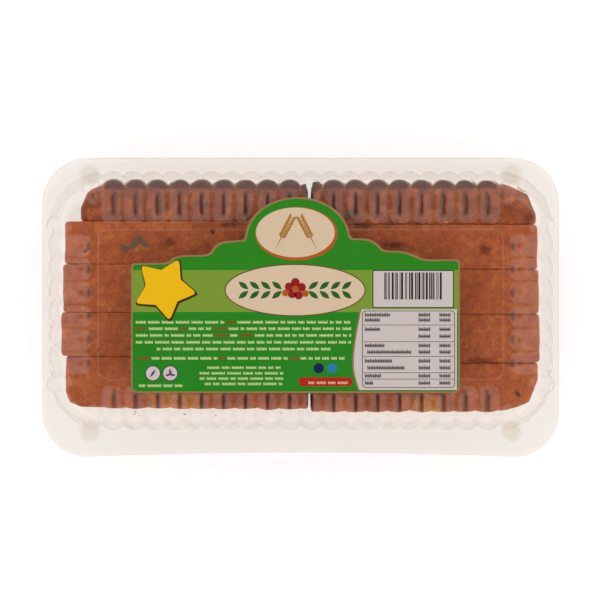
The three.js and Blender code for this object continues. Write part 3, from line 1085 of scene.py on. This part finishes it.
def makeFruit(slices):
    graph = bpy.context.evaluated_depsgraph_get()
    trees = [BVHTree.FromObject(s, graph) for s in slices]
    draw = random.Random(fruitArea['seed'])
    for name, kind in fruitKinds.items():
        places = [(x * mm, y * mm) for x, y in kind['placed']]
        while len(places) < kind['count']:
            places.append((draw.uniform(*fruitArea['x']) * mm, draw.uniform(*fruitArea['y']) * mm))
        bits = []
        for x, y in places:
            hit, normal = dropOnCake(trees, x, y)
            if hit is None:
                continue
            scale = [side * mm * draw.uniform(0.75, 1.15) for side in kind['size']]
            turn = (draw.uniform(-0.2, 0.2), draw.uniform(-0.2, 0.2), draw.uniform(0, math.pi))
            sunk = hit - normal * kind['size'][2] * kind['sunk'] * mm
            bits.append(makeBit(name + 'Bit', 3, 0.5, scale, turn, sunk, 0.22, 1.1 * mm, len(bits)))
        heap = joined(name, bits)
        smoothByAngle(heap, 60)
        finishPiece(heap, 'tray', makeFruitMaterial(name, kind['colour']))
    print("fruit ready")


def makeCrumbs():
    draw = random.Random(crumbs['seed'])
    bits = []
    floor = flangeSize['sheet']
    for _ in range(crumbs['count']):
        x, y = draw.uniform(*crumbs['x']), draw.uniform(*crumbs['y'])
        size = draw.uniform(*crumbs['size']) * mm
        place = (x * mm, y * mm, floor + size * 0.4)
        scale = [draw.uniform(0.7, 1.3) for _ in range(3)]
        bits.append(makeBit('crumb', 2, size / 2, scale, (0, 0, 0), place, 0.5, size * 0.4, len(bits)))
    heap = joined('looseCrumbs', bits)
    finishPiece(heap, 'tray', makeFruitMaterial('crumbBrown', (110, 62, 36)))


# Label: a flat paper sheet on the lid's panel, with its print as thin shapes on it

label = dict(
    sheet=0.25 * mm,
    gap=0.3 * mm,
    inkLift=0.03 * mm,
    layerLift=0.035 * mm,
    border=0.8 * mm,
    left=-76.3, right=71.6, front=-38.4, corner=2.6,
    # rear edges from the shoulders in to the foot of the hump, in mm
    rightWave=[(71.6, 18.8), (71.3, 20.8), (69.7, 21.7), (56.6, 21.8), (51.2, 23.7),
               (45.6, 25.4), (37.8, 25.9), (34.4, 28.9), (30.4, 30.8), (23.4, 31.2)],
    leftWave=[(-76.3, 17.6), (-76.0, 19.2), (-74.3, 20.0), (-61.0, 20.3), (-57.1, 22.6), (-52.4, 23.6),
              (-42.1, 24.1), (-38.0, 28.3), (-34.0, 29.8), (-25.6, 30.6)],
    waveSteps=6,
    crestX=-1.4,
    hump=dict(foot=31.3, halfWidth=23.5, height=18.4),
    bandTop=16.9,
    bandBottom=-1.95,
)


def smoothRun(points, steps):
    # a curve through all the points, with as many steps from each to the next
    ends = [points[0], *points, points[-1]]
    run = []
    for before, here, there, beyond in zip(ends, ends[1:], ends[2:], ends[3:]):
        for step in range(steps):
            t = step / steps
            run.append(tuple(
                b + 0.5 * t * (c - a + t * (2 * a - 5 * b + 4 * c - d + t * (3 * (b - c) + d - a)))
                for a, b, c, d in zip(before, here, there, beyond)))
    return [*run, points[-1]]


def labelOutline(inset):
    # anticlockwise from the front left corner, in mm
    points = []
    left, right, front = label['left'] + inset, label['right'] - inset, label['front'] + inset
    corner = label['corner'] - 0.6 * inset
    for x, start in ((left + corner, math.pi), (right - corner, 1.5 * math.pi)):
        for step in range(7):
            angle = start + step / 6 * math.pi / 2
            points.append((x + corner * math.cos(angle), front + corner + corner * math.sin(angle)))
    hump = label['hump']
    points += [(x - inset, y - 0.9 * inset) for x, y in smoothRun(label['rightWave'], label['waveSteps'])]
    for step in range(1, 40):
        angle = math.pi * step / 40
        points.append((label['crestX'] + (hump['halfWidth'] - inset) * math.cos(angle),
                       hump['foot'] - 0.9 * inset + (hump['height'] - 0.1 * inset) * math.sin(angle)))
    leftRun = smoothRun(label['leftWave'], label['waveSteps'])
    points += [(x + inset, y - 0.9 * inset) for x, y in reversed(leftRun)]
    return points


def layDown(obj, lift, thickness):
    # the flat shape goes up to its place on the lid and gets its thickness
    wall = lidWall
    points = readPoints(obj)
    panelTop = wall['flangeUnder'] + wall['height'] + wall['panelRise']
    points[:, 2] = panelTop + label['gap'] + label['sheet'] + lift
    writePoints(obj, points)
    if obj.data.polygons[0].normal.z < 0:
        obj.data.flip_normals()
    useModifier(obj, 'SOLIDIFY', thickness=thickness, offset=-1.0)
    smoothByAngle(obj, 25)
    return obj


def flatShape(name, points):
    # a circle of as many points, moved to the outline and filled
    deselectAll()
    bpy.ops.mesh.primitive_circle_add(vertices=len(points), radius=1, fill_type='NGON')
    obj = named(name)
    writePoints(obj, [(x * mm, y * mm, 0) for x, y in points])
    return obj


def ellipse(x, y, halfWidth, halfHeight, steps=72):
    angles = [2 * math.pi * i / steps for i in range(steps)]
    return [(x + halfWidth * math.cos(angle), y + halfHeight * math.sin(angle)) for angle in angles]


def roundedBox(left, bottom, right, top, radius, steps=5):
    points = []
    for turn, (cx, cy) in enumerate([(right - radius, bottom + radius), (right - radius, top - radius),
                                     (left + radius, top - radius), (left + radius, bottom + radius)]):
        for step in range(steps + 1):
            angle = (turn - 1 + step / steps) * math.pi / 2
            points.append((cx + radius * math.cos(angle), cy + radius * math.sin(angle)))
    return points


def star(x, y, reach, notch, turn, tipRounding, notchRounding):
    # five blunt points; each corner is replaced by a short curve
    corners = []
    for i in range(10):
        radius = reach if i % 2 == 0 else reach * notch
        angle = turn + i * math.pi / 5
        corners.append(Vector((x + radius * math.cos(angle), y + radius * math.sin(angle))))
    points = []
    for i, corner in enumerate(corners):
        rounding = tipRounding if i % 2 == 0 else notchRounding
        before, after = corners[i - 1], corners[(i + 1) % 10]
        start = corner.lerp(before, rounding)
        end = corner.lerp(after, rounding)
        for share in (0, 0.25, 0.5, 0.75, 1):
            points.append(start.lerp(corner, share).lerp(corner.lerp(end, share), share)[:])
    return points


def makeInk(name, colour, roughness=0.34):
    material, tree, place = newMaterial(name)
    wear = useGroup(tree, mottle, {'Vector': place, 'Scale': 420.0, 'Low': 0.0, 'High': 0.10})['Value']
    base = linear(*colour)
    worn = tuple(min(1.0, channel * 0.8 + 0.03) for channel in base[:3]) + (1.0,)
    normal = useGroup(tree, grain, {
        'Vector': place, 'Scale': 1600.0, 'Strength': 0.12, 'Depth': 0.05 * mm,
    })['Normal']
    polish = useGroup(tree, mottle, {
        'Vector': place, 'Scale': 90.0, 'Low': roughness - 0.05, 'High': roughness + 0.07,
    })['Value']
    paper = addNode(tree, 'ShaderNodeBsdfPrincipled', {
        'Base Color': mixColours(tree, wear, base, worn), 'Roughness': polish, 'Normal': normal,
        'Specular IOR Level': 0.25,
    })
    showSurface(tree, paper)
    return material


inks = dict(
    rimTan=(150, 116, 74),
    deepGreen=(38, 128, 18),
    lightGreen=(120, 149, 46),
    midGreen=(30, 128, 20),
    cream=(216, 190, 160),
    burntOrange=(178, 84, 26),
    brownLine=(104, 62, 30),
    starYellow=(236, 184, 2),
    starEdge=(70, 36, 10),
    white=(204, 191, 188),
    black=(30, 26, 30),
    ruleGrey=(96, 88, 90),
    textGrey=(50, 44, 46),
    paleGreen=(206, 216, 150),
    brickRed=(150, 44, 14),
    pillRed=(176, 30, 6),
    plum=(92, 62, 110),
    deepBlue=(12, 26, 70),
    skyBlue=(40, 120, 160),
    wheatGold=(166, 112, 32),
    leafGreen=(34, 92, 30),
    berryRed=(146, 22, 22),
)
inkMaterials = {}


def inked(obj, ink, layer):
    if ink not in inkMaterials:
        inkMaterials[ink] = makeInk('ink' + ink[0].upper() + ink[1:], inks[ink])
    layDown(obj, label['inkLift'] + layer * label['layerLift'], label['layerLift'] * 0.9)
    return finishPiece(obj, 'lid', inkMaterials[ink])


def printShape(name, points, ink, layer):
    return inked(flatShape(name, points), ink, layer)


def printMany(name, outlines, ink, layer):
    return inked(joined(name, [flatShape(name, points) for points in outlines]), ink, layer)


def makeLabelSheet():
    outline = labelOutline(0)
    sheet = flatShape('labelSheet', outline)
    layDown(sheet, 0.0, label['sheet'])
    inkMaterials['rimTan'] = makeInk('inkRimTan', inks['rimTan'], 0.4)
    finishPiece(sheet, 'lid', inkMaterials['rimTan'], ['label'])


def makeFields():
    # the green field, cut into three bands
    inner = labelOutline(label['border'] / mm)
    bands = [('fieldTop', 'deepGreen', label['bandTop'], None),
             ('fieldBand', 'lightGreen', label['bandBottom'], label['bandTop']),
             ('fieldFoot', 'midGreen', None, label['bandBottom'])]
    for name, ink, low, high in bands:
        field = flatShape(name, inner)
        for y, clearLow in ((low, True), (high, False)):
            if y is not None:
                inEditMode(
                    field,
                    lambda: bpy.ops.mesh.select_all(action='SELECT'),
                    lambda: bpy.ops.mesh.bisect(plane_co=(0, y * mm, 0), plane_no=(0, 1, 0),
                                                clear_inner=clearLow, clear_outer=not clearLow),
                )
        inked(field, ink, 0)


def leaf(x, y, length, width, angle):
    points = []
    for step in range(16):
        t = step / 16
        along = (t * 2 if t < 0.5 else 2 - t * 2) - 0.5
        across = math.sin(math.pi * (along + 0.5)) * width / 2 * (1 if t < 0.5 else -1)
        points.append((x + along * length * math.cos(angle) - across * math.sin(angle),
                       y + along * length * math.sin(angle) + across * math.cos(angle)))
    return points


def wheatEar(x, y, length, angle, pairs):
    # a stalk with pairs of grains along it
    dx, dy = math.cos(angle), math.sin(angle)
    outlines = [leaf(x, y, length, 0.5, angle)]
    for pair in range(pairs):
        at = (pair / (pairs - 1) - 0.15) * length * 0.55
        for side in (-1, 1):
            cx = x + dx * at - dy * side * 1.0
            cy = y + dy * at + dx * side * 1.0
            outlines.append(leaf(cx, cy, 2.6, 1.05, angle + side * 0.5))
    return outlines


def makeEmblems():
    # upper oval with an ear of wheat, lower oval with fruit between leaves
    printShape('ovalTopShade', ellipse(-1.9, 33.2, 18.5, 12.0), 'burntOrange', 1)
    printShape('ovalTop', ellipse(-2.4, 33.8, 17.7, 11.2), 'cream', 2)
    ears = wheatEar(-7.5, 33.6, 17, math.radians(62), 7) + wheatEar(3.4, 33.6, 17, math.radians(118), 7)
    printMany('wheatEars', ears, 'wheatGold', 3)
    printShape('ovalMainEdge', ellipse(-2.5, 7.9, 31.7, 11.8), 'brownLine', 1)
    printShape('ovalMain', ellipse(-2.5, 7.9, 31.2, 11.3), 'cream', 2)
    leaves, berries, peel = [], [], []
    for side in (-1, 1):
        for step in range(4):
            x = -2.5 + side * (8.2 + 5 * step)
            leaves.append(leaf(x, 7.9 + 2.1, 5.6, 2.3, math.radians(90 - side * 52)))
            leaves.append(leaf(x, 7.9 - 2.1, 5.6, 2.3, math.radians(90 - side * 128)))
    for x, y in ((-5.2, 9.4), (-2.4, 11.4), (0.4, 9.2), (-3.9, 6.2), (-0.9, 5.6)):
        berries.append(ellipse(x, y, 1.9, 1.9, 24))
    for x, y in ((-2.4, 8.3), (-6.9, 6.6), (2.1, 6.4)):
        peel.append(ellipse(x, y, 1.5, 1.5, 24))
    printMany('leafSprays', leaves, 'leafGreen', 3)
    printMany('berrySpots', berries, 'berryRed', 4)
    printMany('peelSpots', peel, 'burntOrange', 5)


def makeStar():
    turn = math.radians(63.4)
    printShape('starShade', star(-61.0, 8.3, 15.7, 0.58, turn, 0.24, 0.05), 'starEdge', 1)
    printShape('starFace', star(-61.3, 8.7, 14.8, 0.565, turn, 0.24, 0.04), 'starYellow', 2)


def makeBarField():
    printShape('barFieldEdge', roundedBox(32.3, -0.1, 68.8, 16.9, 0.3), 'black', 1)
    printShape('barField', roundedBox(32.7, 0.3, 68.4, 16.5, 0.2), 'white', 2)
    draw = random.Random(23)
    bars = []
    x = 37.6
    while x < 63.2:
        width = draw.choice((0.3, 0.3, 0.6, 0.6, 0.9))
        bars.append(roundedBox(x, 3.7, min(x + width, 63.6), 15.8, 0.02, 1))
        x += width + draw.choice((0.3, 0.3, 0.6, 0.9))
    printMany('bars', bars, 'black', 3)


def makeTable():
    # the left side of the field is bowed, with a tan line along it
    for name, ink, left, layer in (('tableRim', 'rimTan', -0.7, 1), ('tableField', 'white', 0.0, 2)):
        bow = smoothRun([(26.4, -37.0), (24.4, -30), (23.9, -24.0), (24.7, -15), (27.3, -0.7)], 5)
        printShape(name, [(x + left, y) for x, y in bow] + [(70.2, -0.7), (70.2, -37.0)], ink, layer)
    printShape('tableEdge', roundedBox(27.6, -36.0, 69.3, -1.3, 1.6), 'ruleGrey', 3)
    printShape('tableFace', roundedBox(27.95, -35.65, 68.95, -1.65, 1.3), 'white', 4)
    rules = [roundedBox(28.0, y - 0.13, 68.9, y + 0.13, 0.05, 1) for y in (-7.8, -15.3, -21.9, -29.2, -32.1)]
    printMany('tableRules', rules, 'ruleGrey', 5)
    entries = []
    for y, width in ((-3.3, 11.5), (-5.6, 7), (-9.8, 7), (-17.1, 9), (-20.0, 20), (-24.0, 12.5), (-27.1, 17),
                     (-30.7, 7.5), (-33.9, 4)):
        left = 28.9 if width < 15 else 30
        entries.append(tickWord(left, left + width, y, 1.5, 0.75, 0.5))
    for y in (-3.3, -5.6, -9.8, -12.9, -17.1, -20.0, -24.0, -27.1, -30.7, -33.9):
        for right, width in ((58.5, 5.5), (67.6, 5.2)):
            entries.append(tickWord(right - width, right, y, 1.5, 0.75, 0.5))
    printMany('tableEntries', entries, 'textGrey', 6)


def tickWord(left, right, y, height, pitch, ink):
    # one outline: a thin bar with upright ticks across it, ink being the share of the pitch that a tick takes
    bar = height * 0.12
    upper, lower = [], []
    ticks = max(1, round((right - left) / pitch))
    for tick in range(ticks):
        x = left + tick * (right - left) / ticks
        end = x + ink * (right - left) / ticks
        reach = height / 2 * (1.0 if tick % 3 else 1.35)
        upper += [(x, y + bar), (x, y + reach), (end, y + reach), (end, y + bar)]
        lower += [(x, y - bar), (x, y - height / 2), (end, y - height / 2), (end, y - bar)]
    return lower + upper[::-1]


def tickRow(left, right, y, height, draw, pitch=0.62, ink=0.5):
    # plain ticks, grouped as long and short words are
    outlines = []
    x = left
    while x < right - 1:
        width = min(draw.uniform(1.8, 6.5), right - x)
        outlines.append(tickWord(x, x + width, y, height, pitch, ink))
        x += width + 0.8
    return outlines


def makeTextRows():
    # plain ticks stand where the small print is
    draw = random.Random(5)
    rows = [(-74.0, 22.9, -6.6), (-74.0, 22.9, -9.5), (-74.0, 22.9, -12.5), (-74.0, 22.9, -15.6),
            (-64.6, 13.6, -18.6), (-72.7, 21.7, -22.8)]
    pale, red = [], []
    for left, right, y in rows:
        for outline in tickRow(left, right, y, 1.2, draw):
            (red if draw.random() < 0.09 else pale).append(outline)
    for left, right, y in ((-41.9, -8.8, -27.0), (-45.3, -5.9, -29.5), (-45.3, -5.9, -31.9),
                           (-43.0, -8.0, -34.3)):
        pale += tickRow(left, right, y, 1.1, draw)
    pale += tickRow(-72.6, -52, -35.1, 1.2, draw)
    printMany('smallPrint', pale, 'paleGreen', 1)
    printMany('smallPrintRed', red, 'brickRed', 1)


def makeBadges():
    printMany('badgeRings', [ellipse(x, -29.5, 3.5, 3.5, 32) for x in (-66.4, -58.6)], 'black', 1)
    printMany('badgeDiscs', [ellipse(x, -29.5, 3.15, 3.15, 32) for x in (-66.4, -58.6)], 'white', 2)
    sprigs = [leaf(-66.4, -29.5, 4.2, 1.1, math.radians(55)), leaf(-58.6, -29.0, 3.4, 1.2, math.radians(100)),
              leaf(-59.6, -30.2, 2.6, 1.0, math.radians(10)), leaf(-57.5, -30.2, 2.6, 1.0, math.radians(-10))]
    printMany('badgeSprigs', sprigs, 'plum', 3)
    printShape('darkDisc', ellipse(8.1, -27.2, 2.3, 2.3, 28), 'deepBlue', 1)
    printShape('lightDisc', ellipse(14.1, -27.2, 2.3, 2.3, 28), 'skyBlue', 1)
    printShape('redPill', roundedBox(-0.9, -35.3, 23.3, -31.3, 1.7), 'pillRed', 1)
    printMany('pillTicks', tickRow(3.5, 21.5, -33.8, 1.1, random.Random(3)), 'cream', 2)


def makeLabel():
    makeLabelSheet()
    makeFields()
    makeEmblems()
    makeStar()
    makeBarField()
    makeTable()
    makeTextRows()
    makeBadges()
    print("label ready")


# Floor, light and camera

studio = dict(
    floorSize=6.0,
    floorColour=(0.47, 0.47, 0.47, 1.0),
    floorShade=(0.4, 0.4, 0.4, 1.0),
    floorGlow=0.63,
    sky=1.08,
    zenith=0.05,
    zenithAngle=13,
    brightAngle=23,
    cameraPlace=(-0.3 * mm, 3.45 * mm, 1025 * mm),
    lens=130.4,
)


def makeStudio():
    deselectAll()
    bpy.ops.mesh.primitive_plane_add(size=studio['floorSize'], location=(0, 0, -0.05 * mm))
    floor = settle(named('floor'))
    material, tree, place = newMaterial('floorWhite')
    tone = useGroup(tree, mottle, {'Vector': place, 'Scale': 3.0, 'Low': 0.0, 'High': 0.02})['Value']
    shade = mixColours(tree, tone, studio['floorColour'], studio['floorShade'])
    paper = addNode(tree, 'ShaderNodeBsdfDiffuse', {'Color': shade})
    glow = addNode(tree, 'ShaderNodeEmission', {'Color': (1, 1, 1, 1), 'Strength': studio['floorGlow']})
    lit = addNode(tree, 'ShaderNodeAddShader', {0: paper.outputs[0], 1: glow.outputs[0]})
    showSurface(tree, lit)
    floor.data.materials.append(material)

    world = bpy.data.worlds.new('lightTent')
    bpy.context.scene.world = world
    world.use_nodes = True
    tree = world.node_tree
    tree.nodes.clear()
    direction = addNode(tree, 'ShaderNodeTexCoord').outputs['Generated']
    height = addNode(tree, 'ShaderNodeSeparateXYZ', {0: direction}).outputs['Z']
    up = spread(tree, height, math.cos(math.radians(studio['brightAngle'])),
                math.cos(math.radians(studio['zenithAngle'])))
    colour = mixColours(tree, up, (1, 1, 1, 1), (studio['zenith'],) * 3 + (1,))
    sky = addNode(tree, 'ShaderNodeBackground', {'Color': colour, 'Strength': studio['sky']})
    addNode(tree, 'ShaderNodeOutputWorld', {'Surface': sky.outputs[0]})

    deselectAll()
    bpy.ops.object.camera_add(location=studio['cameraPlace'], rotation=(0, 0, 0))
    camera = bpy.context.object
    camera.data.lens = studio['lens']
    camera.data.sensor_width = 36
    scene = bpy.context.scene
    scene.camera = camera
    scene.view_settings.view_transform = 'Standard'
    scene.cycles.transparent_max_bounces = 24
    scene.cycles.max_bounces = 10
    print("studio ready")


makeStudio()
makeTray()
makeLid()
makeHinge()
cakeSlices = makeSlices()
makeFruit(cakeSlices)
makeCrumbs()
makeLabel()
